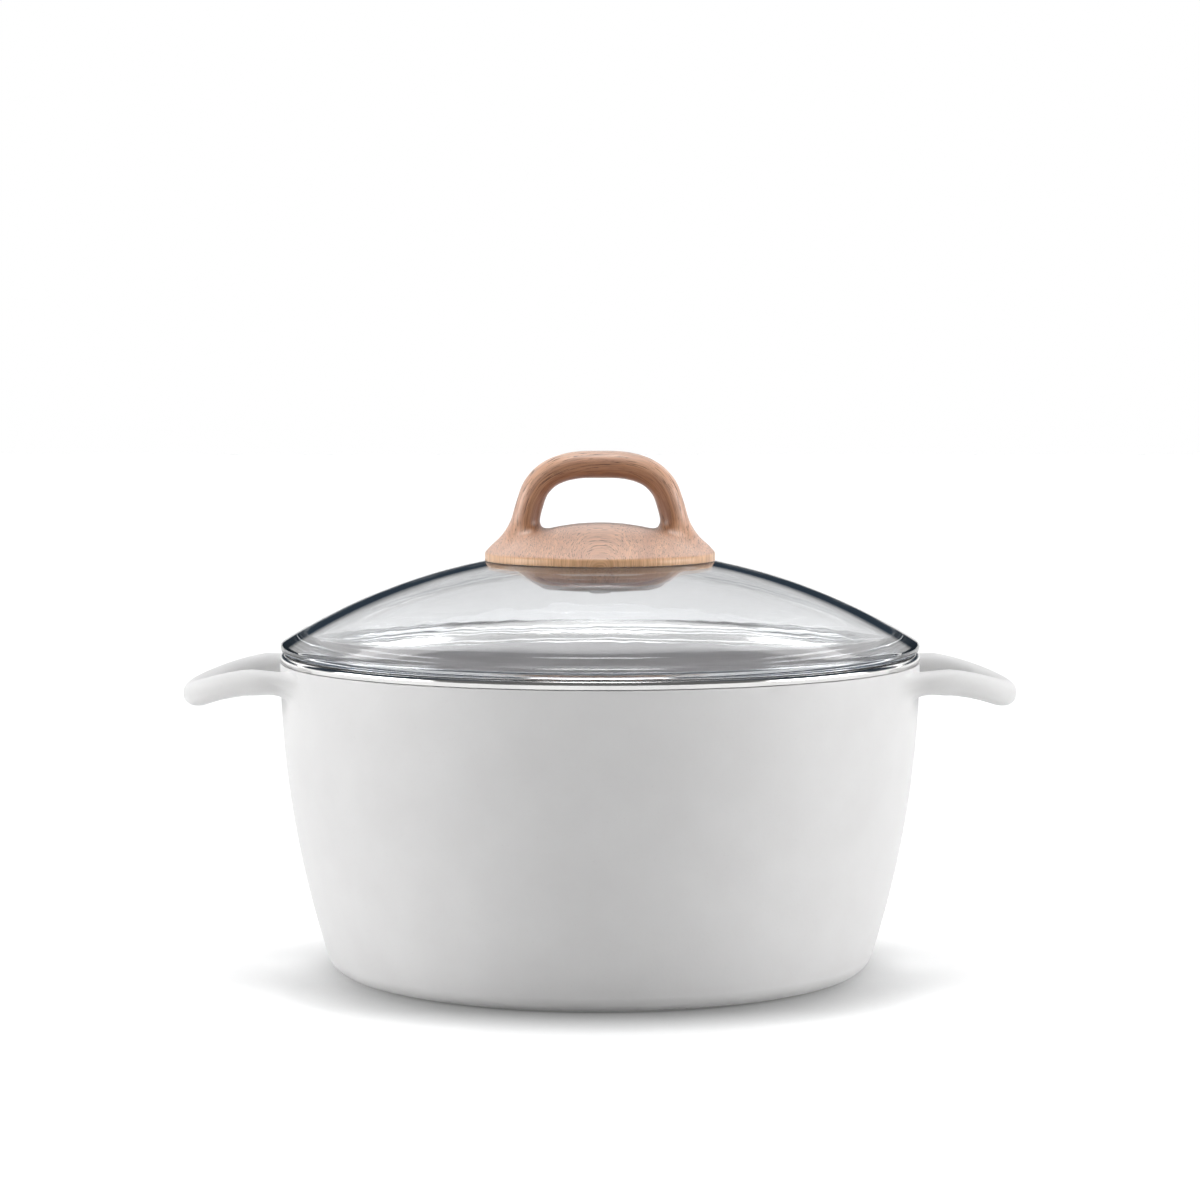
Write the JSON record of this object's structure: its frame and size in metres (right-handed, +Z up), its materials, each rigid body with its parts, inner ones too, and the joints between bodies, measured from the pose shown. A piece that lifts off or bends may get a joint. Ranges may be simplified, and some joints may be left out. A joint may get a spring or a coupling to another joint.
{
  "type": "saucepan with glass lid",
  "caption": "Round cooking pot with cast loop ears, a bare metal lip, a domed clear glass lid and a wooden loop handle.",
  "frame": {"origin": "centre of the base on the surface that the pot stands on", "axes": "+Z up along the pot's axis, +X through the right ear, so the ears lie along X and the handle's bar too"},
  "size_m": [0.3256, 0.25, 0.2024],
  "materials": {
    "ceramic_coat": "satin off-white ceramic coat on cast aluminium, bare polished lip",
    "base_steel": "brushed",
    "clear_glass": "clear polished",
    "beech": "oiled, satin",
    "insert_brass": "machined",
    "silicone": "translucent matte",
    "fastener_steel": "satin stainless"
  },
  "bodies": {
    "pot": {"pot_body": "ceramic_coat", "induction_plate": "base_steel"},
    "lid": {"glass_lid": "clear_glass", "lid_handle": "beech", "threaded_insert": "insert_brass", "handle_gasket": "silicone", "screw_grommet": "silicone", "screw_washer": "fastener_steel", "lid_screw": "fastener_steel"}
  },
  "joints": [
    {"name": "lid_lift", "type": "slide", "parent": "pot", "child": "lid", "axis": [0, 0, 1], "range_m": [0, 0.12]}
  ]
}
